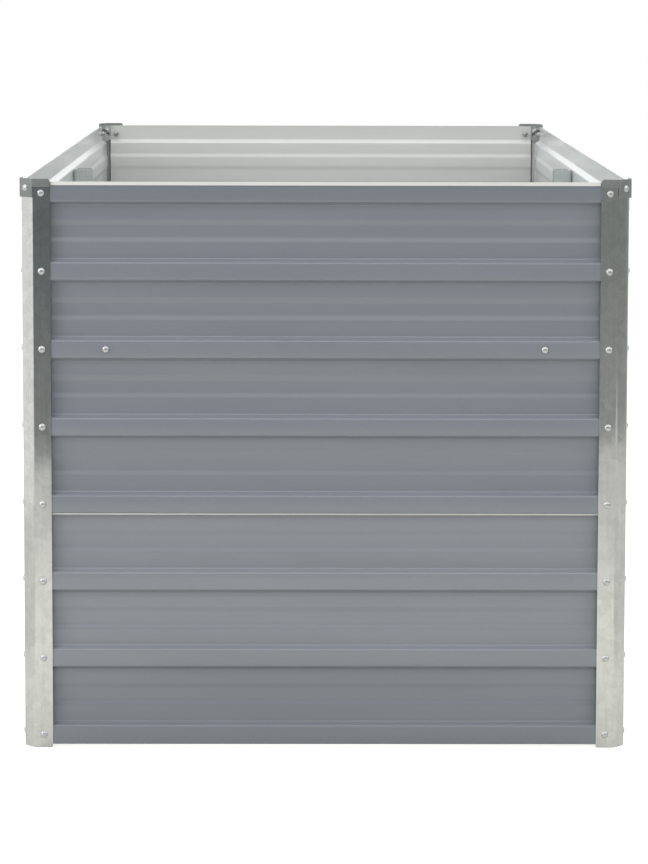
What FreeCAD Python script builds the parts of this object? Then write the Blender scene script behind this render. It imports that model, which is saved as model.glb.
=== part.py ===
import FreeCAD, Part
import math
import os

from FreeCAD import Placement, Rotation, Vector

# Raised garden bed of corrugated sheet steel, open at the top and bottom, on four folded corner posts.
# Sizes are in millimetres. Origin: middle of the footprint, on the ground. X is the width, Y the length
# and Z up. The front is the end wall at -Y.

# --- Footprint, over the outer faces of the corner posts ---
bed_width = 810.0
bed_length = 1610.0

# --- Rows: each row is a proud band of the walls with a bolt at every post flange ---
row_count = 8
first_row = 18.0
row_pitch = 104.5
rim_rise = 15.0
seam_row = 3
brace_row = 5

# --- Corrugated wall panels ---
panel_t = 0.6
band_half = 11.5
facet_rise = 4.6
band_depth = 8.5
groove_top = 36.5
groove_bottom = 66.0
groove_bend = 6.5
groove_depth = 2.0
seam_drop = 2.9
lap_clear = 0.1
lap_top_gap = 1.2
foot_gap = 4.5
rim_hem = 4.8
seam_hem = 4.5
hem_gap = 1.0
panel_end_gap = 2.0

# --- Corner posts ---
post_t = 1.2
post_chamfer = 15.0
post_flange = 24.0
post_clip = 1.5

# --- Corner caps ---
cap_t = 2.5
cap_rise = 4.0
cap_height = 25.0
cap_clip = 2.5
cap_tab_start = 1.0
cap_head_gap = 3.4

# --- Corner braces ---
brace_t = 2.0
brace_reach = 112.0
brace_tab_half = 12.0
brace_clear = 2.5

# --- Side stiffeners (channels inside the long walls) and the tie between them ---
channel_t = 1.5
channel_half = 20.0
channel_leg = 26.0
channel_top_gap = 0.7
tie_t = 3.0
tie_height = 25.0
tie_end_gap = 4.0

# --- Coach bolts and nuts ---
neck_side = 5.0
hole_clear = 0.15
head_radius = 4.75
head_height = 2.6
nut_flats = 8.0
nut_height = 4.5

# --- Drawing of the bolt heads: many small domes, so each has few flats ---
head_sides = 10
head_steps = 2

# --- Places that follow from the sizes ---
X_AXIS = Vector(1, 0, 0)
Z_AXIS = Vector(0, 0, 1)
top_row = row_count - 1
rim_z = first_row + top_row * row_pitch + rim_rise
band_y = post_t
recess_y = band_y + band_depth
groove_y = recess_y + groove_depth
band_inner_y = band_y + panel_t
groove_inner_y = groove_y + panel_t
groove_middle = (groove_top + groove_bottom) / 2
lap = panel_t + lap_clear
post_leg = post_chamfer + post_flange
flange_middle = post_chamfer + post_flange / 2
brace_height = 2 * (band_half - brace_clear)
cap_tab_height = cap_rise + rim_rise - head_radius - cap_head_gap

# A wall frame has its origin on the outer post face at the middle of the wall, X along the wall to the
# right as seen from outside, and Y into the bed. Each wall: turn about Z, distance from the middle, length.
WALLS = {
    "front": (0, bed_length / 2, bed_width),
    "right": (90, bed_width / 2, bed_length),
    "rear": (180, bed_length / 2, bed_width),
    "left": (270, bed_width / 2, bed_length),
}

# A corner frame has its origin where the two outer post faces would meet, with X and Y along the walls.
CORNERS = {
    "front_left": (0, -bed_width / 2, -bed_length / 2),
    "front_right": (90, bed_width / 2, -bed_length / 2),
    "rear_right": (180, bed_width / 2, bed_length / 2),
    "rear_left": (270, -bed_width / 2, bed_length / 2),
}


def row_z(row):
    return first_row + row * row_pitch


# ---------------------------------------------------------------- placing

def wall_placement(wall):
    turn, distance, length = WALLS[wall]
    rotation = Rotation(Z_AXIS, turn)
    return Placement(rotation.multVec(Vector(0, -distance, 0)), rotation)


def corner_placement(corner):
    turn, x, y = CORNERS[corner]
    return Placement(Vector(x, y, 0), Rotation(Z_AXIS, turn))


def placed(shape, placement):
    moved = shape.copy()
    moved.Placement = placement.multiply(moved.Placement)
    return moved


def bolt_placement(x, y, z, turn=0):
    """Frame of a bolt: its head seats at the origin and its shank runs along Y, turned about Z."""
    return Placement(Vector(x, y, z), Rotation(Z_AXIS, turn))


# ---------------------------------------------------------------- sheet metal

def set_back(line, axis, depth):
    """The same open line moved by depth to the left of its run, with mitred corners."""
    normals = [axis.cross(end - start).normalize() for start, end in zip(line, line[1:])]
    normals = [normals[0]] + normals + [normals[-1]]
    moved = []
    for point, before, after in zip(line, normals, normals[1:]):
        mitre = (before + after) * (depth / (1 + before.dot(after)))
        moved.append(point + mitre)
    return moved


def prism(outline, run):
    return Part.Face(Part.makePolygon(outline + outline[:1])).extrude(run)


def bent_sheet(line, thickness, run):
    """Sheet bent along the line of its outer face, its thickness to the left, extruded along run."""
    axis = Vector(run).normalize()
    back = set_back(line, axis, thickness)
    return prism(line + back[::-1], run)


def hem(edge, inner, width, start_x, length):
    """Edge of a sheet folded back onto its outer face, width wide, measured from the edge."""
    along = (inner - edge).normalize() * width
    out = X_AXIS.cross(along).normalize() * panel_t
    if out.y > 0:
        out = out * -1
    outline = [edge, edge + along, edge + along + out, edge + out]
    fold = prism(outline, X_AXIS * length)
    fold.translate(X_AXIS * start_x)
    return fold


def single(shape):
    """The one solid of a finished piece, without leftover seams."""
    return shape.removeSplitter().Solids[0]


# ---------------------------------------------------------------- fasteners

def ring(radius, y):
    turns = [2 * math.pi * (side + 0.5) / head_sides for side in range(head_sides)]
    return [Vector(radius * math.cos(turn), y, radius * math.sin(turn)) for turn in turns]


def domed_head():
    """Low dome over the sheet, from the seating face at y = 0 out to -head_height."""
    crown = Vector(0, -head_height, 0)
    levels = [math.pi / 2 * step / head_steps for step in range(head_steps)]
    rings = [ring(head_radius * math.cos(level), -head_height * math.sin(level)) for level in levels]
    faces = [Part.Face(Part.makePolygon(rings[0] + rings[0][:1]))]
    for side in range(head_sides):
        following = (side + 1) % head_sides
        for low, high in zip(rings, rings[1:]):
            corners = [low[side], low[following], high[following], high[side], low[side]]
            faces.append(Part.Face(Part.makePolygon(corners)))
        last = rings[-1]
        faces.append(Part.Face(Part.makePolygon([last[side], last[following], crown, last[side]])))
    head = Part.Solid(Part.Shell(faces))
    if head.Volume < 0:
        head.reverse()
    return head


def coach_bolt(grip):
    """Domed bolt whose square shank ends flush with the last sheet of its grip."""
    shank = Part.makeBox(neck_side, grip, neck_side, Vector(-neck_side / 2, 0, -neck_side / 2))
    return single(domed_head().fuse(shank))


def nut(grip):
    """Closed hexagon nut seated on the inner face of the gripped sheets."""
    corner = nut_flats / math.sqrt(3)
    turns = [math.radians(60 * side) for side in range(6)]
    outline = [Vector(corner * math.cos(turn), grip, corner * math.sin(turn)) for turn in turns]
    return prism(outline, Vector(0, nut_height, 0))


def hole_tool(grip):
    side = neck_side + 2 * hole_clear
    start = Vector(-side / 2, -panel_t / 2, -side / 2)
    return Part.makeBox(side, grip + panel_t, side, start)


def punched(sheet, bolts):
    """The sheet with a square hole for each bolt, given as (placement, grip)."""
    tools = [placed(hole_tool(grip), place) for place, grip in bolts]
    return single(sheet.cut(Part.makeCompound(tools)))


def bolt_group(bolts):
    return Part.makeCompound([placed(coach_bolt(grip), place) for place, grip in bolts])


def nut_group(bolts):
    return Part.makeCompound([placed(nut(grip), place) for place, grip in bolts])


# ---------------------------------------------------------------- where the bolts are

def post_grip(row):
    """The seam row clamps the lapped edge of the lower panel as well."""
    return post_t + panel_t + (lap if row == seam_row else 0)


def corner_bolts(corner):
    """Bolts through both flanges of a post, one in each row."""
    place = corner_placement(corner)
    bolts = []
    for row in range(row_count):
        front = bolt_placement(flange_middle, 0, row_z(row))
        side = bolt_placement(0, flange_middle, row_z(row), -90)
        bolts.append((place.multiply(front), post_grip(row)))
        bolts.append((place.multiply(side), post_grip(row)))
    return bolts


def cap_bolt(corner):
    """Bolt square to the chamfer of the post, at the middle of the cap's height."""
    outside = post_chamfer / 2 - cap_t / math.sqrt(2)
    seat = bolt_placement(outside, outside, rim_z + cap_rise - cap_height / 2, -45)
    return corner_placement(corner).multiply(seat), cap_t + post_t


def brace_bolts(corner):
    """One bolt through each wall and the tab of the brace behind it."""
    place = corner_placement(corner)
    front = bolt_placement(brace_reach, band_y, row_z(brace_row))
    side = bolt_placement(band_y, brace_reach, row_z(brace_row), -90)
    return [(place.multiply(seat), panel_t + brace_t) for seat in (front, side)]


def stiffener_bolts(wall):
    """Bolts in every second recess, where the groove bears on the web of the channel."""
    seats = [bolt_placement(0, groove_y, row_z(row) - groove_middle) for row in range(top_row, 0, -2)]
    return [(wall_placement(wall).multiply(seat), panel_t + channel_t) for seat in seats]


def tie_bolts():
    """One bolt through each end of the tie and the front leg of a channel."""
    seat_x = bed_width / 2 - groove_inner_y - (channel_leg + channel_t) / 2
    seat_y = -channel_half - tie_t
    seats = [bolt_placement(side * seat_x, seat_y, row_z(brace_row)) for side in (-1, 1)]
    return [(seat, tie_t + channel_t) for seat in seats]


# ---------------------------------------------------------------- wall panels

def recess_below(row):
    """Outer line of the recess under a row, with its shallow groove, from facet to facet."""
    z = row_z(row)
    return [
        Vector(0, recess_y, z - band_half - facet_rise),
        Vector(0, recess_y, z - groove_top),
        Vector(0, groove_y, z - groove_top - groove_bend),
        Vector(0, groove_y, z - groove_bottom + groove_bend),
        Vector(0, recess_y, z - groove_bottom),
        Vector(0, recess_y, z - row_pitch + band_half + facet_rise),
    ]


def band(row):
    return [Vector(0, band_y, row_z(row) + band_half), Vector(0, band_y, row_z(row) - band_half)]


def upper_line():
    """From the rim down to the seam, which ends part way down the facet under its last band."""
    line = [Vector(0, band_y, rim_z), Vector(0, band_y, row_z(top_row) - band_half)]
    for row in range(top_row, seam_row, -1):
        line += recess_below(row) + band(row - 1)
    seam_y = band_y + band_depth * seam_drop / facet_rise
    return line + [Vector(0, seam_y, row_z(seam_row) - band_half - seam_drop)]


def lower_line():
    """From the lapped edge behind the seam row down to the foot."""
    slope = math.hypot(band_depth, facet_rise)
    lift = lap * slope / band_depth
    fold_z = row_z(seam_row) - band_half + lift - lap * facet_rise / band_depth
    lapped = recess_below(seam_row)
    lapped[0].z += lift
    line = [Vector(0, band_y + lap, row_z(seam_row) + band_half - lap_top_gap)]
    line += [Vector(0, band_y + lap, fold_z)] + lapped
    for row in range(seam_row - 1, 0, -1):
        line += band(row) + recess_below(row)
    return line + [band(0)[0], Vector(0, band_y, foot_gap)]


def wall_panel(wall, line, hems):
    """Corrugated sheet between two posts. hems: (edge, next point, width, half length) in the wall frame."""
    half = WALLS[wall][2] / 2 - post_chamfer - panel_end_gap
    sheet = bent_sheet([point - X_AXIS * half for point in line], panel_t, X_AXIS * (2 * half))
    for edge, inner, width, reach in hems:
        sheet = sheet.fuse(hem(edge, inner, width, -reach, 2 * reach))
    return placed(sheet, wall_placement(wall))


def hem_half(wall):
    return WALLS[wall][2] / 2 - post_leg - hem_gap


def upper_panel(wall, bolts):
    line = upper_line()
    rim = (line[0], line[1], rim_hem, hem_half(wall))
    seam = (line[-1], line[-2], seam_hem, hem_half(wall))
    return punched(wall_panel(wall, line, [rim, seam]), bolts)


def lower_panel(wall, bolts):
    return punched(wall_panel(wall, lower_line(), []), bolts)


# ---------------------------------------------------------------- posts, caps, braces

def corner_line():
    """Outer line of a post seen from above: side flange, chamfer, front flange."""
    return [Vector(0, post_leg, 0), Vector(0, post_chamfer, 0), Vector(post_chamfer, 0, 0), Vector(post_leg, 0, 0)]


def corner_clips(size, x, z, depth):
    """Two small wedges that take the corner off both flanges at height z, size down or up from there."""
    wedge = prism([Vector(x, -depth, z), Vector(x - abs(size), -depth, z), Vector(x, -depth, z + size)],
                  Vector(0, 2 * depth, 0))
    other = wedge.mirror(Vector(0, 0, 0), Vector(1, -1, 0))
    return Part.makeCompound([wedge, other])


def corner_post(corner):
    post = bent_sheet(corner_line(), post_t, Z_AXIS * rim_z)
    post = post.cut(corner_clips(post_clip, post_leg, 0, 2 * post_t))
    return punched(placed(post, corner_placement(corner)), corner_bolts(corner) + [cap_bolt(corner)])


def corner_cap(corner):
    """Open cap folded round the head of a post: a deep face on the chamfer and a low tab on each flange."""
    base = Vector(0, 0, rim_z + cap_rise - cap_height)
    line = [point + base for point in set_back(corner_line(), Z_AXIS, -cap_t)]
    cap = bent_sheet(line, cap_t, Z_AXIS * cap_height)
    under_tab = Part.makeBox(post_leg, 4 * cap_t, cap_height - cap_tab_height,
                             base + Vector(post_chamfer + cap_tab_start, -2 * cap_t, 0))
    cap = cap.cut(under_tab).cut(under_tab.mirror(Vector(0, 0, 0), Vector(1, -1, 0)))
    cap = cap.cut(corner_clips(-cap_clip, post_leg, rim_z + cap_rise, 2 * cap_t))
    return punched(placed(cap, corner_placement(corner)), [cap_bolt(corner)])


def corner_brace(corner):
    """Flat bar across the corner with a tab bent flat against the band of each wall."""
    near = brace_reach - brace_tab_half
    far = brace_reach + brace_tab_half
    z = row_z(brace_row) - brace_height / 2
    line = [
        Vector(band_inner_y, far, z),
        Vector(band_inner_y, near, z),
        Vector(near, band_inner_y, z),
        Vector(far, band_inner_y, z),
    ]
    bar = bent_sheet(line, brace_t, Z_AXIS * brace_height)
    return punched(placed(bar, corner_placement(corner)), brace_bolts(corner))


# ---------------------------------------------------------------- stiffeners and tie

def side_stiffener(wall):
    """Upright channel with its web on the grooves of a long wall and its legs into the bed."""
    top = row_z(top_row) - band_half - facet_rise - channel_top_gap
    line = [
        Vector(-channel_half, groove_inner_y + channel_leg, foot_gap),
        Vector(-channel_half, groove_inner_y, foot_gap),
        Vector(channel_half, groove_inner_y, foot_gap),
        Vector(channel_half, groove_inner_y + channel_leg, foot_gap),
    ]
    channel = bent_sheet(line, channel_t, Z_AXIS * (top - foot_gap))
    return punched(placed(channel, wall_placement(wall)), stiffener_bolts(wall) + tie_bolts())


def cross_tie():
    """Flat bar on edge across the bed, on the front legs of both channels."""
    half = bed_width / 2 - groove_inner_y - tie_end_gap
    corner = Vector(-half, -channel_half - tie_t, row_z(brace_row) - tie_height / 2)
    return punched(Part.makeBox(2 * half, tie_t, tie_height, corner), tie_bolts())


# ---------------------------------------------------------------- the whole bed

def build():
    pieces = {}
    posts = {corner: corner_bolts(corner) for corner in CORNERS}
    braces = {corner: brace_bolts(corner) for corner in CORNERS}
    caps = [cap_bolt(corner) for corner in CORNERS]

    for wall in WALLS:
        in_wall = [bolt for bolts in list(posts.values()) + list(braces.values()) for bolt in bolts]
        if wall in ("left", "right"):
            in_wall = in_wall + stiffener_bolts(wall)
        pieces[wall + "_panel_upper"] = upper_panel(wall, in_wall)
        pieces[wall + "_panel_lower"] = lower_panel(wall, in_wall)

    for corner in CORNERS:
        pieces[corner + "_post"] = corner_post(corner)
        pieces[corner + "_cap"] = corner_cap(corner)
        pieces[corner + "_brace"] = corner_brace(corner)
        pieces[corner + "_post_bolts"] = bolt_group(posts[corner])
        pieces[corner + "_post_nuts"] = nut_group(posts[corner])
        pieces[corner + "_brace_bolts"] = bolt_group(braces[corner])
        pieces[corner + "_brace_nuts"] = nut_group(braces[corner])

    for wall in ("left", "right"):
        pieces[wall + "_stiffener"] = side_stiffener(wall)
        pieces[wall + "_stiffener_bolts"] = bolt_group(stiffener_bolts(wall))
        pieces[wall + "_stiffener_nuts"] = nut_group(stiffener_bolts(wall))

    pieces["cross_tie"] = cross_tie()
    pieces["tie_bolts"] = bolt_group(tie_bolts())
    pieces["tie_nuts"] = nut_group(tie_bolts())
    pieces["cap_bolts"] = bolt_group(caps)
    pieces["cap_nuts"] = nut_group(caps)
    return pieces


os.makedirs("parts", exist_ok=True)
for name, piece in build().items():
    piece.exportStep(os.path.join("parts", name + ".step"))
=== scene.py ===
import math

import bmesh
import bpy
from mathutils import Matrix, Vector


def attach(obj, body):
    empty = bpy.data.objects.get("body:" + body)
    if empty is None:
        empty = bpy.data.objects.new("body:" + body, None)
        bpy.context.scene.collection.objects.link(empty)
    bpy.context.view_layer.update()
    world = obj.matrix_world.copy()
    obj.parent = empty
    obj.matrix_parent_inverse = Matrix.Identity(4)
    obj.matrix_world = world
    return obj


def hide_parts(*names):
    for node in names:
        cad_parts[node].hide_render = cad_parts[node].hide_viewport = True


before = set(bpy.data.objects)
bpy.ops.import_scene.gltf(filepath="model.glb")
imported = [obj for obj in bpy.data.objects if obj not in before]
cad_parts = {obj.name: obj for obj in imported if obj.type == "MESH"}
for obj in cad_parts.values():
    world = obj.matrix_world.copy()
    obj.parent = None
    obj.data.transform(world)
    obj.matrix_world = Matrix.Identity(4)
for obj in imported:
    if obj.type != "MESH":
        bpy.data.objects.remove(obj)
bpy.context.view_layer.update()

# Raised garden bed of corrugated sheet steel on folded galvanised corner posts. Sizes are in metres.
# X is the width, Y the length and Z up; the front is the end wall at -Y.

# --- Driving sizes of the bed ---
bed_width = 0.810
bed_length = 1.610
row_count = 8
first_row = 0.018
row_pitch = 0.1045
rim_rise = 0.015
seam_row = 3
brace_row = 5

# --- Corrugated panels ---
panel_t = 0.0006
band_half = 0.0115
facet_rise = 0.0046
band_depth = 0.0085
groove_top = 0.0365
groove_bottom = 0.066
groove_bend = 0.0065
groove_depth = 0.002
seam_drop = 0.0029
lap = 0.0007
lap_top_gap = 0.0012
foot_gap = 0.0045
rim_hem = 0.0048
seam_hem = 0.0045
hem_gap = 0.0002
panel_end_gap = 0.002
panel_bend = 0.0017
hem_facing = 0.3
flange_clear = 0.001
ripple_height = 0.0009
ripple_length = 0.16

# --- Posts, caps, braces, stiffeners and tie ---
post_t = 0.0012
post_chamfer = 0.015
post_flange = 0.024
post_clip = 0.0015
cap_t = 0.0025
cap_rise = 0.004
cap_height = 0.025
cap_tab_height = 0.01085
cap_tab_start = 0.001
cap_clip = 0.0025
brace_t = 0.002
brace_reach = 0.112
brace_tab_half = 0.012
brace_height = 0.018
brace_clip = 0.003
channel_t = 0.0015
channel_half = 0.020
channel_leg = 0.026
channel_top_gap = 0.0007
channel_clip = 0.002
tie_t = 0.003
tie_height = 0.025
tie_end_gap = 0.004
tie_end_round = 0.0075
sheet_bend = 0.0022
cut_edge = 0.0004

# --- Coach bolts and nuts ---
head_radius = 0.00475
head_height = 0.0026
neck_side = 0.005
thread_radius = 0.0024
thread_end = 0.0035
thread_rings = 7
thread_root = 0.84
thread_tip = 0.8
nut_flats = 0.008
nut_height = 0.0045
nut_chamfer = 0.0007
nut_chamfer_rise = 0.0003
nut_bore_edge = 0.0008
nut_edge = 0.0003

# --- Studio: edges of the floor, and how far out its painted shade sets in ---
floor_front = -3.17
floor_slant = 0.54
floor_right = 3.15
floor_left = -2.2
floor_rear = 9.0
floor_folds = (-1.2, 1.5)
floor_fall_start = 1.9
floor_fall_end = 3.3

# --- Camera, fitted to the photograph ---
camera_place = (-0.0239, -4.865, 1.0281)
camera_yaw = -0.307
camera_pitch = -5.478
camera_roll = 0.127
camera_lens = 127.8
camera_shift = -0.18

# --- Places that follow from the sizes ---
X_AXIS = Vector((1, 0, 0))
Z_AXIS = Vector((0, 0, 1))
tiny = 1e-6
top_row = row_count - 1
rim_z = first_row + top_row * row_pitch + rim_rise
band_y = post_t
recess_y = band_y + band_depth
groove_y = recess_y + groove_depth
band_inner_y = band_y + panel_t
groove_inner_y = groove_y + panel_t
groove_middle = (groove_top + groove_bottom) / 2
post_leg = post_chamfer + post_flange
flange_middle = post_chamfer + post_flange / 2

# Wall frames: turn about Z, distance of the outer post face from the middle, length of the wall.
WALLS = {
    "front": (0, bed_length / 2, bed_width),
    "right": (90, bed_width / 2, bed_length),
    "rear": (180, bed_length / 2, bed_width),
    "left": (270, bed_width / 2, bed_length),
}

# Corner frames: turn about Z and the point where the two outer post faces would meet.
CORNERS = {
    "front_left": (0, -bed_width / 2, -bed_length / 2),
    "front_right": (90, bed_width / 2, -bed_length / 2),
    "rear_right": (180, bed_width / 2, bed_length / 2),
    "rear_left": (270, -bed_width / 2, bed_length / 2),
}


def row_z(row):
    return first_row + row * row_pitch


def wall_matrix(wall):
    turn, distance, length = WALLS[wall]
    return Matrix.Rotation(math.radians(turn), 4, "Z") @ Matrix.Translation((0, -distance, 0))


def corner_matrix(corner):
    turn, x, y = CORNERS[corner]
    return Matrix.Translation((x, y, 0)) @ Matrix.Rotation(math.radians(turn), 4, "Z")


def bolt_matrix(x, y, z, turn=0):
    return Matrix.Translation((x, y, z)) @ Matrix.Rotation(math.radians(turn), 4, "Z")


# ---------------------------------------------------------------- shader building

def add_node(tree, kind, **settings):
    node = tree.nodes.new(kind)
    for key, value in settings.items():
        setattr(node, key, value)
    return node


def set_inputs(node, **values):
    for key, value in values.items():
        node.inputs[key.replace("_", " ")].default_value = value


def math_node(tree, operation, first, second=None, clamp=False):
    node = add_node(tree, "ShaderNodeMath", operation=operation, use_clamp=clamp)
    for socket, value in zip(node.inputs, (first, second)):
        if value is None:
            continue
        if isinstance(value, (int, float)):
            socket.default_value = value
        else:
            tree.links.new(value, socket)
    return node.outputs[0]


def map_range(tree, value, low, high, to_low=0.0, to_high=1.0, smooth=False):
    node = add_node(tree, "ShaderNodeMapRange")
    if smooth:
        node.interpolation_type = "SMOOTHSTEP"
    tree.links.new(value, node.inputs["Value"])
    set_inputs(node, From_Min=low, From_Max=high, To_Min=to_low, To_Max=to_high)
    return node.outputs["Result"]


def mix_colour(tree, factor, first, second):
    node = add_node(tree, "ShaderNodeMix", data_type="RGBA")
    for socket, value in zip((node.inputs[0], node.inputs[6], node.inputs[7]), (factor, first, second)):
        if isinstance(value, (int, float, tuple)):
            socket.default_value = value
        else:
            tree.links.new(value, socket)
    return node.outputs[2]


def new_group(name, inputs, outputs):
    """Shader group with float or vector inputs {name: default} and outputs {name: socket type}."""
    group = bpy.data.node_groups.new(name, "ShaderNodeTree")
    for key, default in inputs.items():
        kind = "NodeSocketVector" if default is None else "NodeSocketFloat"
        socket = group.interface.new_socket(key, in_out="INPUT", socket_type=kind)
        if default is not None:
            socket.default_value = default
    for key, kind in outputs.items():
        group.interface.new_socket(key, in_out="OUTPUT", socket_type=kind)
    return group, group.nodes.new("NodeGroupInput"), group.nodes.new("NodeGroupOutput")


def scaled_coordinates(tree, source, scale):
    mapping = add_node(tree, "ShaderNodeMapping")
    tree.links.new(source, mapping.inputs["Vector"])
    mapping.inputs["Scale"].default_value = scale
    return mapping.outputs["Vector"]


def noise(tree, vector, scale, detail=3.0, roughness=0.5):
    node = add_node(tree, "ShaderNodeTexNoise")
    tree.links.new(vector, node.inputs["Vector"])
    set_inputs(node, Scale=scale, Detail=detail, Roughness=roughness)
    return node.outputs


def spangle_group():
    """Zinc crystals: angular patches of slightly different tone and tilt, in two sizes."""
    group, start, end = new_group(
        "zinc_spangle",
        {"Vector": None, "Scale": 90.0, "Jaggedness": 0.35},
        {"Tone": "NodeSocketFloat", "Facet": "NodeSocketFloat"})
    drift = noise(group, start.outputs["Vector"], 160.0, 4.0, 0.6)["Color"]
    centred = add_node(group, "ShaderNodeVectorMath", operation="SUBTRACT")
    group.links.new(drift, centred.inputs[0])
    centred.inputs[1].default_value = (0.5, 0.5, 0.5)
    size = math_node(group, "DIVIDE", start.outputs["Jaggedness"], start.outputs["Scale"])
    pushed = add_node(group, "ShaderNodeVectorMath", operation="SCALE")
    group.links.new(centred.outputs[0], pushed.inputs[0])
    group.links.new(size, pushed.inputs["Scale"])
    moved = add_node(group, "ShaderNodeVectorMath", operation="ADD")
    group.links.new(start.outputs["Vector"], moved.inputs[0])
    group.links.new(pushed.outputs[0], moved.inputs[1])
    tones = []
    for factor in (1.0, 2.6):
        cells = add_node(group, "ShaderNodeTexVoronoi")
        group.links.new(moved.outputs[0], cells.inputs["Vector"])
        group.links.new(math_node(group, "MULTIPLY", start.outputs["Scale"], factor), cells.inputs["Scale"])
        channels = add_node(group, "ShaderNodeSeparateColor")
        group.links.new(cells.outputs["Color"], channels.inputs[0])
        tones.append(channels)
    coarse = math_node(group, "MULTIPLY", tones[0].outputs[0], 0.65)
    fine = math_node(group, "MULTIPLY", tones[1].outputs[0], 0.35)
    group.links.new(math_node(group, "ADD", coarse, fine), end.inputs["Tone"])
    coarse_tilt = math_node(group, "MULTIPLY", tones[0].outputs[1], 0.7)
    fine_tilt = math_node(group, "MULTIPLY", tones[1].outputs[1], 0.3)
    group.links.new(math_node(group, "ADD", coarse_tilt, fine_tilt), end.inputs["Facet"])
    return group


def streak_group():
    """Faint upright streaks and soft smudges left by the zinc bath and by handling."""
    group, start, end = new_group(
        "streaks_and_smudges", {"Vector": None, "Streaks": 1.0},
        {"Streak": "NodeSocketFloat", "Smudge": "NodeSocketFloat"})
    drawn = scaled_coordinates(group, start.outputs["Vector"], (1.0, 1.0, 0.035))
    lines = noise(group, drawn, 260.0, 3.0, 0.6)["Fac"]
    streak = map_range(group, lines, 0.35, 0.65, -0.5, 0.5)
    group.links.new(math_node(group, "MULTIPLY", streak, start.outputs["Streaks"]), end.inputs["Streak"])
    soft = scaled_coordinates(group, start.outputs["Vector"], (1.0, 1.0, 0.35))
    patches = noise(group, soft, 34.0, 4.0, 0.55)["Fac"]
    group.links.new(map_range(group, patches, 0.35, 0.7, 0.0, 1.0, True), end.inputs["Smudge"])
    return group


def paint_group():
    """Fine skin of a sprayed and baked coat: orange peel, soft tone drift and a little settled dust."""
    group, start, end = new_group(
        "baked_coat", {"Vector": None, "Drift": 1.0},
        {"Tone": "NodeSocketFloat", "Peel": "NodeSocketFloat", "Dust": "NodeSocketFloat"})
    peel = noise(group, start.outputs["Vector"], 900.0, 2.0, 0.4)["Fac"]
    group.links.new(peel, end.inputs["Peel"])
    drawn = scaled_coordinates(group, start.outputs["Vector"], (0.5, 0.5, 3.0))
    drift = noise(group, drawn, 7.0, 4.0, 0.55)["Fac"]
    toned = math_node(group, "MULTIPLY", math_node(group, "SUBTRACT", drift, 0.5), start.outputs["Drift"])
    group.links.new(toned, end.inputs["Tone"])
    specks = noise(group, start.outputs["Vector"], 420.0, 5.0, 0.7)["Fac"]
    group.links.new(map_range(group, specks, 0.56, 0.8, 0.0, 1.0), end.inputs["Dust"])
    return group


def place_group(tree, group, vector, **values):
    node = add_node(tree, "ShaderNodeGroup", node_tree=group)
    tree.links.new(vector, node.inputs["Vector"])
    set_inputs(node, **values)
    return node.outputs


def new_material(name):
    """Material with its Principled shader and the object's own coordinates."""
    material = bpy.data.materials.new(name)
    material.use_nodes = True
    tree = material.node_tree
    shader = tree.nodes["Principled BSDF"]
    coordinates = add_node(tree, "ShaderNodeTexCoord").outputs["Object"]
    return material, tree, shader, coordinates


def tinted(tree, low, high, factor):
    """Colour between two tones, by a value from 0 to 1."""
    return mix_colour(tree, factor, low + (1.0,), high + (1.0,))


def add_bump(tree, shader, height, strength, distance):
    bump = add_node(tree, "ShaderNodeBump")
    set_inputs(bump, Strength=strength, Distance=distance)
    tree.links.new(height, bump.inputs["Height"])
    tree.links.new(bump.outputs["Normal"], shader.inputs["Normal"])


def zinc_material(name, groups, low, high, cell_scale, rough, wave, tilt, metallic=1.0):
    """Galvanised sheet: spangled crystals, upright streaks, smudges and slow waves in the reflection."""
    material, tree, shader, place = new_material(name)
    spangle = place_group(tree, groups["spangle"], place, Scale=cell_scale)
    streaks = place_group(tree, groups["streaks"], place)
    tone = math_node(tree, "ADD", math_node(tree, "MULTIPLY", spangle["Tone"], 0.75),
                     math_node(tree, "MULTIPLY", streaks["Streak"], 0.35), True)
    tree.links.new(tinted(tree, low, high, tone), shader.inputs["Base Color"])
    worn = math_node(tree, "MULTIPLY", streaks["Smudge"], 0.04)
    grain = math_node(tree, "MULTIPLY", spangle["Facet"], 0.025)
    roughness = math_node(tree, "ADD", math_node(tree, "ADD", worn, grain), rough)
    tree.links.new(roughness, shader.inputs["Roughness"])
    shader.inputs["Metallic"].default_value = metallic
    waves = noise(tree, scaled_coordinates(tree, place, (1.0, 1.0, 0.5)), 38.0, 2.0, 0.5)["Fac"]
    height = math_node(tree, "ADD", math_node(tree, "MULTIPLY", waves, wave),
                       math_node(tree, "MULTIPLY", spangle["Facet"], tilt))
    add_bump(tree, shader, height, 1.0, 0.001)
    return material


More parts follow.
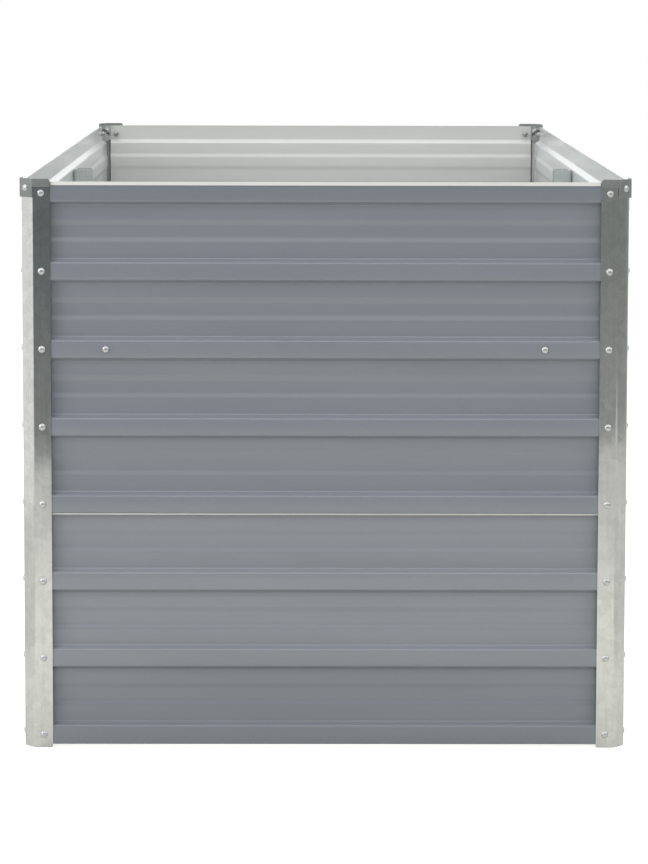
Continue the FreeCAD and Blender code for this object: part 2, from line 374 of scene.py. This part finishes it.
def paint_material(name, groups, low, high, rough, coat, coat_rough, foot_shade=0.0, rim=0.0):
    """Baked paint with a faint orange peel, soft drift of tone and a trace of dust.
    Painted shade may darken its foot and its rim band."""
    material, tree, shader, place = new_material(name)
    skin = place_group(tree, groups["paint"], place)
    tone = math_node(tree, "ADD", math_node(tree, "MULTIPLY", skin["Tone"], 1.2), 0.5, True)
    colour = tinted(tree, low, high, tone)
    colour = mix_colour(tree, math_node(tree, "MULTIPLY", skin["Dust"], 0.06), colour, (0.6, 0.59, 0.57, 1.0))
    # Painted shade: each pass mixes a dark bluish tone in over a span of heights, towards the foot or over the rim
    # band, where less light falls.
    for shade_start_z, shade_full_z, amount in ((0.17, 0.02, foot_shade), (0.737, 0.743, rim)):
        if amount:
            upright = add_node(tree, "ShaderNodeSeparateXYZ")
            tree.links.new(place, upright.inputs[0])
            painted_shade = map_range(tree, upright.outputs["Z"], shade_start_z, shade_full_z, 0.0, amount, True)
            colour = mix_colour(tree, painted_shade, colour, (0.015, 0.03, 0.05, 1.0))
    tree.links.new(colour, shader.inputs["Base Color"])
    roughness = math_node(tree, "ADD", math_node(tree, "MULTIPLY", skin["Peel"], 0.08), rough)
    tree.links.new(roughness, shader.inputs["Roughness"])
    shader.inputs["Coat Weight"].default_value = coat
    shader.inputs["Coat Roughness"].default_value = coat_rough
    waves = noise(tree, scaled_coordinates(tree, place, (0.6, 0.6, 1.0)), 9.0, 2.0, 0.5)["Fac"]
    height = math_node(tree, "ADD", math_node(tree, "MULTIPLY", skin["Peel"], 0.02),
                       math_node(tree, "MULTIPLY", waves, 0.5))
    add_bump(tree, shader, height, 1.0, 0.001)
    return material


def build_materials():
    groups = {"spangle": spangle_group(), "streaks": streak_group(), "paint": paint_group()}
    return {
        # The upper sheets get painted shade on the rim band and the lower sheets at the foot. The lower sheets'
        # slate is a lighter copy of the same paint: painted light for the brighter lower part of the walls.
        "slate_upper": paint_material(
            "slate_paint_upper_sheets", groups, (0.144, 0.161, 0.189), (0.168, 0.185, 0.213), 0.40, 0.55, 0.14,
            rim=0.13),
        "slate_lower": paint_material(
            "slate_paint_lower_sheets", groups, (0.163, 0.177, 0.204), (0.189, 0.203, 0.231), 0.40, 0.55, 0.14,
            foot_shade=0.26),
        # Painted light: end and side walls share one back coat; the side walls' copy is lighter and cooler,
        # standing in for light on their inner faces.
        "back_end": paint_material(
            "back_coat_of_end_walls", groups, (0.455, 0.46, 0.45), (0.515, 0.52, 0.51), 0.40, 0.6, 0.18),
        # Painted highlight: the hems carry a lighter, glossier copy of the back coat, for the bright line along
        # the folded edges.
        "hem_coat": paint_material(
            "back_coat_of_hems_painted_highlight", groups, (0.56, 0.565, 0.55), (0.64, 0.645, 0.63), 0.34, 0.6, 0.14),
        "back_side": paint_material(
            "back_coat_of_side_walls_painted_light", groups, (0.51, 0.54, 0.545), (0.57, 0.60, 0.605), 0.30, 0.7, 0.12),
        "galvanised": zinc_material(
            "galvanised_sheet", groups, (0.44, 0.446, 0.44), (0.545, 0.55, 0.545), 90.0, 0.055, 0.10, 0.006),
        "dull_zinc": zinc_material(
            "dull_zinc_sheet", groups, (0.150, 0.162, 0.162), (0.180, 0.193, 0.191), 220.0, 0.42, 0.1, 0.01,
            metallic=0.3),
        "channel_zinc": zinc_material(
            "channel_zinc_sheet", groups, (0.40, 0.435, 0.43), (0.50, 0.535, 0.53), 220.0, 0.38, 0.1, 0.01,
            metallic=0.3),
        "bright_zinc": zinc_material(
            "bright_zinc_plate", groups, (0.43, 0.44, 0.45), (0.52, 0.53, 0.54), 700.0, 0.30, 0.01, 0.01),
        "dark_zinc": zinc_material(
            "dark_zinc_plate", groups, (0.36, 0.37, 0.37), (0.46, 0.47, 0.47), 700.0, 0.48, 0.01, 0.01),
    }


# ---------------------------------------------------------------- modelling helpers

def deselect():
    bpy.ops.object.select_all(action="DESELECT")


def make_active(piece):
    deselect()
    piece.select_set(True)
    bpy.context.view_layer.objects.active = piece


def select_in_edit(kind, test):
    """In edit mode, selects the vertices, edges or faces for which test is true."""
    bpy.ops.mesh.select_mode(type={"verts": "VERT", "edges": "EDGE", "faces": "FACE"}[kind])
    bpy.ops.mesh.select_all(action="DESELECT")
    mesh = bpy.context.object.data
    shape = bmesh.from_edit_mesh(mesh)
    for element in getattr(shape, kind):
        if test(element):
            element.select_set(True)
    shape.select_flush_mode()
    bmesh.update_edit_mesh(mesh)


def middle_of(element):
    points = [vertex.co for vertex in element.verts]
    return sum(points, Vector()) / len(points)


def cut_plane(point, normal):
    """Cuts the whole mesh in edit mode by a plane, keeping both sides."""
    bpy.ops.mesh.select_all(action="SELECT")
    bpy.ops.mesh.bisect(plane_co=point, plane_no=normal)


def apply_modifiers(piece):
    make_active(piece)
    for modifier in list(piece.modifiers):
        bpy.ops.object.modifier_apply(modifier=modifier.name)


def folded_strip(name, line, run):
    """A strip of sheet as wide as run, folded along line. Its face looks along run x line."""
    deselect()
    across = line[1] - line[0]
    axes = Matrix((run.normalized(), across.normalized(), run.cross(across).normalized())).transposed()
    middle = (line[0] + line[1] + run) / 2
    bpy.ops.mesh.primitive_plane_add(size=1, location=middle, rotation=axes.to_euler())
    strip = bpy.context.object
    strip.name = name
    strip.scale = (run.length, across.length, 1)
    bpy.ops.object.transform_apply(location=True, rotation=True, scale=True)
    bpy.ops.object.mode_set(mode="EDIT")
    select_in_edit("edges", lambda edge: (middle_of(edge) - line[1] - run / 2).length < tiny)
    for start, end in zip(line[1:], line[2:]):
        bpy.ops.mesh.extrude_region_move(TRANSFORM_OT_translate={"value": end - start})
    bpy.ops.object.mode_set(mode="OBJECT")
    return strip


def round_bends(strip, run, width, segments):
    """Rounds the folds of a strip, apart from hems, which are folded flat."""
    make_active(strip)
    bpy.ops.object.mode_set(mode="EDIT")
    direction = run.normalized()

    def is_bend(edge):
        along = (edge.verts[0].co - edge.verts[1].co).normalized()
        if len(edge.link_faces) != 2 or abs(along.dot(direction)) < 0.99:
            return False
        narrowest = min(face.calc_area() / run.length for face in edge.link_faces)
        return edge.calc_face_angle() > math.radians(5) and narrowest > width

    select_in_edit("edges", is_bend)
    bpy.ops.mesh.bevel(offset=width, segments=segments, affect="EDGES")
    bpy.ops.object.mode_set(mode="OBJECT")


def thicken(piece, thickness, back_slot=0):
    """Gives a strip its thickness behind its face; the back and the cut edges may have their own material."""
    solid = piece.modifiers.new("thickness", "SOLIDIFY")
    solid.thickness = thickness
    solid.offset = -1
    solid.use_even_offset = True
    solid.material_offset = back_slot
    solid.material_offset_rim = back_slot
    apply_modifiers(piece)


def break_edges(piece, width, segments, sharpest=30):
    """Takes the sharpness off the cut edges."""
    edge = piece.modifiers.new("edge", "BEVEL")
    edge.width = width
    edge.segments = segments
    edge.angle_limit = math.radians(sharpest)
    apply_modifiers(piece)


def smooth(piece, degrees=35):
    make_active(piece)
    bpy.ops.object.shade_smooth_by_angle(angle=math.radians(degrees))


def place_mesh(piece, matrix):
    piece.matrix_world = matrix
    make_active(piece)
    bpy.ops.object.transform_apply(location=True, rotation=True, scale=True)


def join(name, pieces):
    deselect()
    for piece in pieces:
        piece.select_set(True)
    bpy.context.view_layer.objects.active = pieces[0]
    if len(pieces) > 1:
        bpy.ops.object.join()
    joined = bpy.context.object
    joined.name = name
    return joined


def copy_of(master, name, matrix):
    piece = master.copy()
    piece.data = master.data.copy()
    piece.name = name
    bpy.context.scene.collection.objects.link(piece)
    place_mesh(piece, matrix)
    return piece


def hand_over(piece, node):
    """The piece stands for its node and moves with the bed's only body."""
    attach(piece, "root")
    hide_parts(node)


def set_materials(piece, *materials):
    piece.data.materials.clear()
    for material in materials:
        piece.data.materials.append(material)


# ---------------------------------------------------------------- corrugated panels

def point(y, z):
    return Vector((0, y, z))


def recess_above(row):
    """Face of the recess over a row, upwards, with its shallow groove."""
    z = row_z(row + 1)
    return [
        point(recess_y, row_z(row) + band_half + facet_rise),
        point(recess_y, z - groove_bottom),
        point(groove_y, z - groove_bottom + groove_bend),
        point(groove_y, z - groove_top - groove_bend),
        point(recess_y, z - groove_top),
        point(recess_y, z - band_half - facet_rise),
    ]


def band(row):
    return [point(band_y, row_z(row) - band_half), point(band_y, row_z(row) + band_half)]


def upper_line():
    """Upwards from the seam hem, lying on the facet, to the rim hem, folded down in front."""
    facet = Vector((0, -band_depth, facet_rise)).normalized()
    outward = X_AXIS.cross(facet)
    seam = point(band_y + band_depth * seam_drop / facet_rise, row_z(seam_row) - band_half - seam_drop)
    fold = seam + facet * panel_t
    line = [fold + outward * hem_gap + facet * (seam_hem - panel_t), fold + outward * hem_gap, fold]
    line += band(seam_row)
    for row in range(seam_row, top_row):
        line += recess_above(row) + band(row + 1)
    line[-1] = point(band_y, rim_z - panel_t)
    front = -hem_gap
    return line + [point(band_y + front, rim_z - panel_t), point(band_y + front, rim_z - rim_hem)]


def lower_line():
    """Upwards from the foot to the edge lapped behind the seam row."""
    slope = math.hypot(band_depth, facet_rise)
    lift = lap * slope / band_depth
    fold_z = row_z(seam_row) - band_half + lift - lap * facet_rise / band_depth
    line = [point(band_y, foot_gap), band(0)[1]]
    for row in range(seam_row):
        line += recess_above(row)
        if row < seam_row - 1:
            line += band(row + 1)
    line[-1].z += lift
    top = row_z(seam_row) + band_half - lap_top_gap
    return line + [point(band_y + lap, fold_z), point(band_y + lap, top)]


def corrugated_panel(name, line, wall, cuts, materials):
    """One sheet between two posts, in its wall's frame: folded, rounded, slightly wavy, hems trimmed."""
    half = WALLS[wall][2] / 2 - post_chamfer - panel_end_gap
    clear = WALLS[wall][2] / 2 - post_leg - flange_clear
    run = X_AXIS * (2 * half)
    sheet = folded_strip(name, [place - run / 2 for place in line], run)
    set_materials(sheet, *materials)
    round_bends(sheet, run, panel_bend, 4)
    bpy.ops.object.mode_set(mode="EDIT")
    select_in_edit("edges", lambda edge: abs(edge.verts[0].co.x - edge.verts[1].co.x) > half)
    bpy.ops.mesh.subdivide(number_cuts=cuts)
    for side in (-1, 1):
        cut_plane((side * clear, 0, 0), (1, 0, 0))

    def under_flange(face):
        place = middle_of(face)
        in_front = place.y < band_y - hem_gap / 4
        return in_front and abs(place.x) > clear

    select_in_edit("faces", under_flange)
    bpy.ops.mesh.delete(type="FACE")
    select_in_edit("faces", lambda face: face.normal.y > hem_facing)
    sheet.active_material_index = 1
    bpy.ops.object.material_slot_assign()
    bpy.ops.object.mode_set(mode="OBJECT")
    ripple = sheet.modifiers.new("ripple", "DISPLACE")
    ripple.texture = sheet_ripple
    ripple.texture_coords = "LOCAL"
    ripple.direction = "Y"
    ripple.strength = ripple_height
    apply_modifiers(sheet)
    thicken(sheet, panel_t, 1)
    smooth(sheet, 40)
    return sheet


def build_panels(materials):
    for wall, twin in (("front", "rear"), ("left", "right")):
        cuts = 24 if wall == "front" else 48
        for level, line in (("upper", upper_line()), ("lower", lower_line())):
            back = "back_end" if wall == "front" else "back_side"
            finish = (materials["slate_" + level], materials[back], materials["hem_coat"])
            master = corrugated_panel("sheet", line, wall, cuts, finish)
            for side in (wall, twin):
                node = side + "_panel_" + level
                panel = copy_of(master, node + "_sheet", wall_matrix(side))
                hand_over(panel, node)
            bpy.data.objects.remove(master)


# ---------------------------------------------------------------- posts, caps and braces

def corner_line(out=0.0):
    """Face of a post seen from above, front flange first, moved outwards by out."""
    reach = out * math.tan(math.radians(22.5))
    return [
        Vector((post_leg, -out, 0)),
        Vector((post_chamfer - reach, -out, 0)),
        Vector((-out, post_chamfer - reach, 0)),
        Vector((-out, post_leg, 0)),
    ]


def clip_corners(test, size):
    select_in_edit("verts", test)
    bpy.ops.mesh.bevel(offset=size, affect="VERTICES")


def post_master():
    run = Z_AXIS * rim_z
    post = folded_strip("post", corner_line(), run)
    make_active(post)
    bpy.ops.object.mode_set(mode="EDIT")
    clip_corners(lambda vertex: vertex.co.z < tiny and max(vertex.co) > post_leg - tiny, post_clip)
    bpy.ops.object.mode_set(mode="OBJECT")
    round_bends(post, run, sheet_bend, 5)
    thicken(post, post_t)
    smooth(post)
    return post


def cap_master():
    run = Z_AXIS * cap_height
    top = rim_z + cap_rise
    base = Z_AXIS * (top - cap_height)
    cap = folded_strip("cap", [place + base for place in corner_line(cap_t)], run)
    round_bends(cap, run, sheet_bend, 5)
    bpy.ops.object.mode_set(mode="EDIT")
    tab_foot = top - cap_tab_height
    tab_start = post_chamfer + cap_tab_start
    cut_plane((0, 0, tab_foot), (0, 0, 1))
    cut_plane((tab_start, 0, 0), (1, 0, 0))
    cut_plane((0, tab_start, 0), (0, 1, 0))

    def below_tab(face):
        place = middle_of(face)
        return place.z < tab_foot and max(place.x, place.y) > tab_start

    select_in_edit("faces", below_tab)
    bpy.ops.mesh.delete(type="FACE")
    clip_corners(lambda vertex: vertex.co.z > top - tiny and max(vertex.co.x, vertex.co.y) > post_leg - tiny,
                 cap_clip)
    bpy.ops.object.mode_set(mode="OBJECT")
    thicken(cap, cap_t)
    break_edges(cap, cut_edge, 2, 60)
    smooth(cap)
    return cap


def brace_master():
    near = brace_reach - brace_tab_half
    far = brace_reach + brace_tab_half
    z = row_z(brace_row) - brace_height / 2
    line = [Vector((far, band_inner_y, z)), Vector((near, band_inner_y, z)),
            Vector((band_inner_y, near, z)), Vector((band_inner_y, far, z))]
    run = Z_AXIS * brace_height
    brace = folded_strip("brace", line, run)
    make_active(brace)
    bpy.ops.object.mode_set(mode="EDIT")
    clip_corners(lambda vertex: max(vertex.co.x, vertex.co.y) > far - tiny, brace_clip)
    bpy.ops.object.mode_set(mode="OBJECT")
    round_bends(brace, run, sheet_bend, 4)
    thicken(brace, brace_t)
    smooth(brace)
    return brace


def build_corners(materials):
    masters = {"post": post_master(), "cap": cap_master(), "brace": brace_master()}
    for kind, master in masters.items():
        set_materials(master, materials["galvanised" if kind == "post" else "dull_zinc"])
        for corner in CORNERS:
            node = corner + "_" + kind
            piece = copy_of(master, node + "_folded", corner_matrix(corner))
            hand_over(piece, node)
        bpy.data.objects.remove(master)


# ---------------------------------------------------------------- stiffeners and tie

def build_stiffeners(materials):
    top = row_z(top_row) - band_half - facet_rise - channel_top_gap
    tip = groove_inner_y + channel_leg
    run = Z_AXIS * (top - foot_gap)
    line = [Vector((channel_half, tip, foot_gap)),
            Vector((channel_half, groove_inner_y, foot_gap)),
            Vector((-channel_half, groove_inner_y, foot_gap)),
            Vector((-channel_half, tip, foot_gap))]
    channel = folded_strip("channel", line, run)
    make_active(channel)
    bpy.ops.object.mode_set(mode="EDIT")
    clip_corners(lambda vertex: vertex.co.y > tip - tiny, channel_clip)
    bpy.ops.object.mode_set(mode="OBJECT")
    round_bends(channel, run, sheet_bend, 4)
    thicken(channel, channel_t)
    smooth(channel)
    set_materials(channel, materials["channel_zinc"])
    for wall in ("left", "right"):
        piece = copy_of(channel, wall + "_stiffener_channel", wall_matrix(wall))
        hand_over(piece, wall + "_stiffener")
    bpy.data.objects.remove(channel)


def build_tie(materials):
    half = bed_width / 2 - groove_inner_y - tie_end_gap
    deselect()
    bpy.ops.mesh.primitive_cube_add(size=1, location=(0, -channel_half - tie_t / 2, row_z(brace_row)))
    tie = bpy.context.object
    tie.name = "cross_tie_bar"
    tie.scale = (2 * half, tie_t, tie_height)
    bpy.ops.object.transform_apply(location=True, rotation=True, scale=True)
    bpy.ops.object.mode_set(mode="EDIT")
    select_in_edit("edges", lambda edge: abs(edge.verts[0].co.y - edge.verts[1].co.y) > tie_t / 2)
    bpy.ops.mesh.bevel(offset=tie_end_round, segments=6, affect="EDGES")
    bpy.ops.object.mode_set(mode="OBJECT")
    break_edges(tie, cut_edge, 2)
    smooth(tie)
    set_materials(tie, materials["dull_zinc"])
    hand_over(tie, "cross_tie")


# ---------------------------------------------------------------- coach bolts and nuts

def dome():
    """Smooth head of a coach bolt, towards -Y and seated at the origin."""
    deselect()
    bpy.ops.mesh.primitive_uv_sphere_add(segments=24, ring_count=12, radius=head_radius,
                                         rotation=(math.pi / 2, 0, 0))
    head = bpy.context.object
    head.scale = (1, 1, head_height / head_radius)
    bpy.ops.object.transform_apply(location=True, rotation=True, scale=True)
    bpy.ops.object.mode_set(mode="EDIT")
    bpy.ops.mesh.select_all(action="SELECT")
    bpy.ops.mesh.bisect(plane_co=(0, 0, 0), plane_no=(0, 1, 0), use_fill=True, clear_outer=True)
    bpy.ops.object.mode_set(mode="OBJECT")
    return head


def neck(grip):
    """Square neck through the gripped sheets, reaching a little into the head."""
    start = -head_height / 4
    deselect()
    bpy.ops.mesh.primitive_cube_add(size=1, location=(0, (start + grip) / 2, 0))
    block = bpy.context.object
    block.scale = (neck_side, grip - start, neck_side)
    bpy.ops.object.transform_apply(location=True, rotation=True, scale=True)
    return block


def thread(grip):
    """Round shank from inside the neck through the nut, with turned grooves and a chamfered end."""
    start = grip / 2
    end = grip + nut_height + thread_end
    deselect()
    bpy.ops.mesh.primitive_cylinder_add(vertices=12, radius=thread_radius, depth=end - start,
                                        location=(0, (start + end) / 2, 0), rotation=(math.pi / 2, 0, 0))
    shank = bpy.context.object
    bpy.ops.object.transform_apply(location=True, rotation=True, scale=True)
    bpy.ops.object.mode_set(mode="EDIT")
    rings = [end - thread_end * (step + 1) / (thread_rings + 1) for step in range(thread_rings)]
    for ring in rings:
        cut_plane((0, ring, 0), (0, 1, 0))
    roots = rings[1::2]
    select_in_edit("verts", lambda vertex: any(abs(vertex.co.y - root) < 1e-5 for root in roots))
    bpy.ops.transform.resize(value=(thread_root, 1, thread_root), center_override=(0, 0, 0))
    select_in_edit("faces", lambda face: face.normal.y > 0.9)
    bpy.ops.transform.resize(value=(thread_tip, 1, thread_tip), center_override=(0, end, 0))
    bpy.ops.object.mode_set(mode="OBJECT")
    return shank


def closed_nut(grip):
    """Hexagon nut with chamfered corners and a countersunk bore, seated on the gripped sheets."""
    deselect()
    bpy.ops.mesh.primitive_cylinder_add(vertices=6, radius=nut_flats / math.sqrt(3), depth=nut_height,
                                        location=(0, nut_height / 2, 0), rotation=(math.pi / 2, 0, 0))
    hexagon = bpy.context.object
    bpy.ops.object.transform_apply(location=True, rotation=True, scale=True)
    bpy.ops.object.mode_set(mode="EDIT")
    select_in_edit("faces", lambda face: face.normal.y > 0.9)
    bpy.ops.mesh.inset(thickness=nut_chamfer)
    bpy.ops.transform.translate(value=(0, nut_chamfer_rise, 0))
    bpy.ops.mesh.inset(thickness=nut_bore_edge)
    bpy.ops.mesh.extrude_region_move(TRANSFORM_OT_translate={"value": (0, -nut_bore_edge, 0)})
    bpy.ops.object.mode_set(mode="OBJECT")
    break_edges(hexagon, nut_edge, 1)
    place_mesh(hexagon, Matrix.Translation((0, grip, 0)))
    return hexagon


def corner_seats(corner):
    """Seats of the bolts of one post, with what each grips."""
    place = corner_matrix(corner)
    seats = []
    for row in range(row_count):
        grip = post_t + panel_t + (lap if row == seam_row else 0)
        seats.append((place @ bolt_matrix(flange_middle, 0, row_z(row)), grip))
        seats.append((place @ bolt_matrix(0, flange_middle, row_z(row), -90), grip))
    return seats


def cap_seat(corner):
    outside = post_chamfer / 2 - cap_t / math.sqrt(2)
    seat = bolt_matrix(outside, outside, rim_z + cap_rise - cap_height / 2, -45)
    return corner_matrix(corner) @ seat, cap_t + post_t


def brace_seats(corner):
    place = corner_matrix(corner)
    z = row_z(brace_row)
    seats = (bolt_matrix(brace_reach, band_y, z), bolt_matrix(band_y, brace_reach, z, -90))
    return [(place @ seat, panel_t + brace_t) for seat in seats]


def stiffener_seats(wall):
    rows = range(top_row, 0, -2)
    return [(wall_matrix(wall) @ bolt_matrix(0, groove_y, row_z(row) - groove_middle), panel_t + channel_t)
            for row in rows]


def tie_seats():
    seat_x = bed_width / 2 - groove_inner_y - (channel_leg + channel_t) / 2
    return [(bolt_matrix(side * seat_x, -channel_half - tie_t, row_z(brace_row)), tie_t + channel_t)
            for side in (-1, 1)]


def fasten(node, seats, materials):
    """One piece with all the bolts of a node, and one with their nuts."""
    masters = {}
    bolts = []
    nuts = []
    for place, grip in seats:
        if grip not in masters:
            masters[grip] = join("bolt", [dome(), neck(grip), thread(grip)]), closed_nut(grip)
        bolt, nut = masters[grip]
        bolts.append(copy_of(bolt, "bolt", place))
        nuts.append(copy_of(nut, "nut", place))
    for pair in masters.values():
        for master in pair:
            bpy.data.objects.remove(master)
    for part, pieces, finish in (("bolts", bolts, "bright_zinc"), ("nuts", nuts, "dark_zinc")):
        group = join(node + "_" + part + "_zinc", pieces)
        smooth(group, 30)
        set_materials(group, materials[finish])
        hand_over(group, node + "_" + part)


def build_fasteners(materials):
    for corner in CORNERS:
        fasten(corner + "_post", corner_seats(corner), materials)
        fasten(corner + "_brace", brace_seats(corner), materials)
    for wall in ("left", "right"):
        fasten(wall + "_stiffener", stiffener_seats(wall), materials)
    fasten("tie", tie_seats(), materials)
    fasten("cap", [cap_seat(corner) for corner in CORNERS], materials)


# ---------------------------------------------------------------- studio and camera

def build_floor():
    """Pale floor, greyer far out as painted shade for the lamps' light falling off; for the camera it glows up to
    white, apart from the shadow.
    """
    deselect()
    bpy.ops.mesh.primitive_plane_add(size=1, location=((floor_left + floor_right) / 2,
                                                       (floor_front + floor_rear) / 2, 0))
    floor = bpy.context.object
    floor.name = "studio_floor"
    floor.scale = (floor_right - floor_left, floor_rear - floor_front, 1)
    bpy.ops.object.transform_apply(location=True, rotation=True, scale=True)
    bpy.ops.object.mode_set(mode="EDIT")
    for fold in floor_folds:
        cut_plane((fold, 0, 0), (1, 0, 0))
    select_in_edit("verts", lambda vertex: vertex.co.x > floor_folds[1] - 0.1 and vertex.co.y < 0)
    bpy.ops.transform.translate(value=(0, -floor_slant, 0))
    bpy.ops.object.mode_set(mode="OBJECT")
    material, tree, shader, place = new_material("white_studio_floor")
    # Painted shade: the floor's colour turns greyer far from the bed, standing in for the lamps' light falling
    # off.
    spread = add_node(tree, "ShaderNodeVectorMath", operation="LENGTH")
    tree.links.new(scaled_coordinates(tree, place, (2.6, 1.0, 1.0)), spread.inputs[0])
    painted_falloff = map_range(tree, spread.outputs["Value"], floor_fall_start, floor_fall_end, 0.0, 1.0, True)
    tone = mix_colour(tree, painted_falloff, (0.80, 0.795, 0.735, 1.0), (0.61, 0.61, 0.575, 1.0))
    tree.links.new(tone, shader.inputs["Base Color"])
    shader.inputs["Roughness"].default_value = 0.9
    shader.inputs["Specular IOR Level"].default_value = 0.0
    path = add_node(tree, "ShaderNodeLightPath")
    shader.inputs["Emission Color"].default_value = (1.0, 1.0, 1.0, 1.0)
    glow = math_node(tree, "MULTIPLY", path.outputs["Is Camera Ray"], 0.45)
    tree.links.new(glow, shader.inputs["Emission Strength"])
    set_materials(floor, material)


def build_world():
    """Pale room, dimmer low down in front and to the right; pure white where the camera sees it."""
    world = bpy.data.worlds.new("studio")
    bpy.context.scene.world = world
    world.use_nodes = True
    tree = world.node_tree
    background = tree.nodes["Background"]
    direction = add_node(tree, "ShaderNodeSeparateXYZ")
    tree.links.new(add_node(tree, "ShaderNodeTexCoord").outputs["Generated"], direction.inputs[0])
    rise = map_range(tree, direction.outputs["Z"], 0.12, 0.46, 0.0, 1.0, True)
    side = map_range(tree, direction.outputs["X"], -0.75, -0.35, 1.0, 0.0, True)
    behind = map_range(tree, direction.outputs["Y"], 0.1, 0.5, 0.0, 0.7, True)
    lit = math_node(tree, "MAXIMUM", math_node(tree, "MAXIMUM", rise, side), behind)
    path = add_node(tree, "ShaderNodeLightPath")
    right = map_range(tree, direction.outputs["X"], -0.09, 0.09, 0.0, 0.39, True)
    low = map_range(tree, direction.outputs["Z"], -0.07, -0.155, 0.0, 0.48, True)
    dim = mix_colour(tree, math_node(tree, "ADD", right, low), (0.195, 0.218, 0.226, 1.0), (0.55, 0.57, 0.53, 1.0))
    room = mix_colour(tree, lit, dim, (1.3, 1.3, 1.29, 1.0))
    shown = mix_colour(tree, path.outputs["Is Camera Ray"], room, (1.0, 1.0, 1.0, 1.0))
    tree.links.new(shown, background.inputs["Color"])


def add_softbox(name, place, target, size, power):
    light = bpy.data.lights.new(name, "AREA")
    light.shape = "RECTANGLE"
    light.size = size[0]
    light.size_y = size[1]
    light.energy = power
    lamp = bpy.data.objects.new(name, light)
    lamp.location = place
    lamp.rotation_euler = (Vector(target) - Vector(place)).to_track_quat("-Z", "Y").to_euler()
    bpy.context.scene.collection.objects.link(lamp)


def build_lights():
    add_softbox("left_softbox", (-2.9, -2.3, 1.9), (0, -0.4, 0.5), (1.2, 1.6), 29)
    add_softbox("right_softbox", (3.0, -2.2, 1.8), (0, -0.4, 0.5), (0.9, 1.3), 12)
    add_softbox("front_top_softbox", (0.0, -3.6, 3.4), (0, -0.8, 0.5), (3.0, 1.4), 17)
    add_softbox("overhead_softbox", (0.0, 0.3, 3.2), (0, 0, 0), (4.4, 3.4), 50)


def build_camera():
    camera_data = bpy.data.cameras.new("camera")
    camera = bpy.data.objects.new("camera", camera_data)
    camera.location = camera_place
    turns = [Matrix.Rotation(math.radians(angle), 4, axis)
             for angle, axis in ((camera_yaw, "Z"), (90 + camera_pitch, "X"), (camera_roll, "Z"))]
    camera.rotation_euler = (turns[0] @ turns[1] @ turns[2]).to_euler()
    camera_data.sensor_width = 36
    camera_data.lens = camera_lens
    camera_data.shift_y = camera_shift
    camera_data.clip_end = 100
    bpy.context.scene.collection.objects.link(camera)
    bpy.context.scene.camera = camera


# ---------------------------------------------------------------- the whole picture

sheet_ripple = bpy.data.textures.new("sheet_ripple", "CLOUDS")
sheet_ripple.noise_scale = ripple_length
sheet_ripple.noise_depth = 1

finishes = build_materials()
build_panels(finishes)
build_corners(finishes)
build_stiffeners(finishes)
build_tie(finishes)
build_fasteners(finishes)
build_floor()
build_world()
build_lights()
build_camera()

bpy.context.scene.view_settings.view_transform = "Standard"
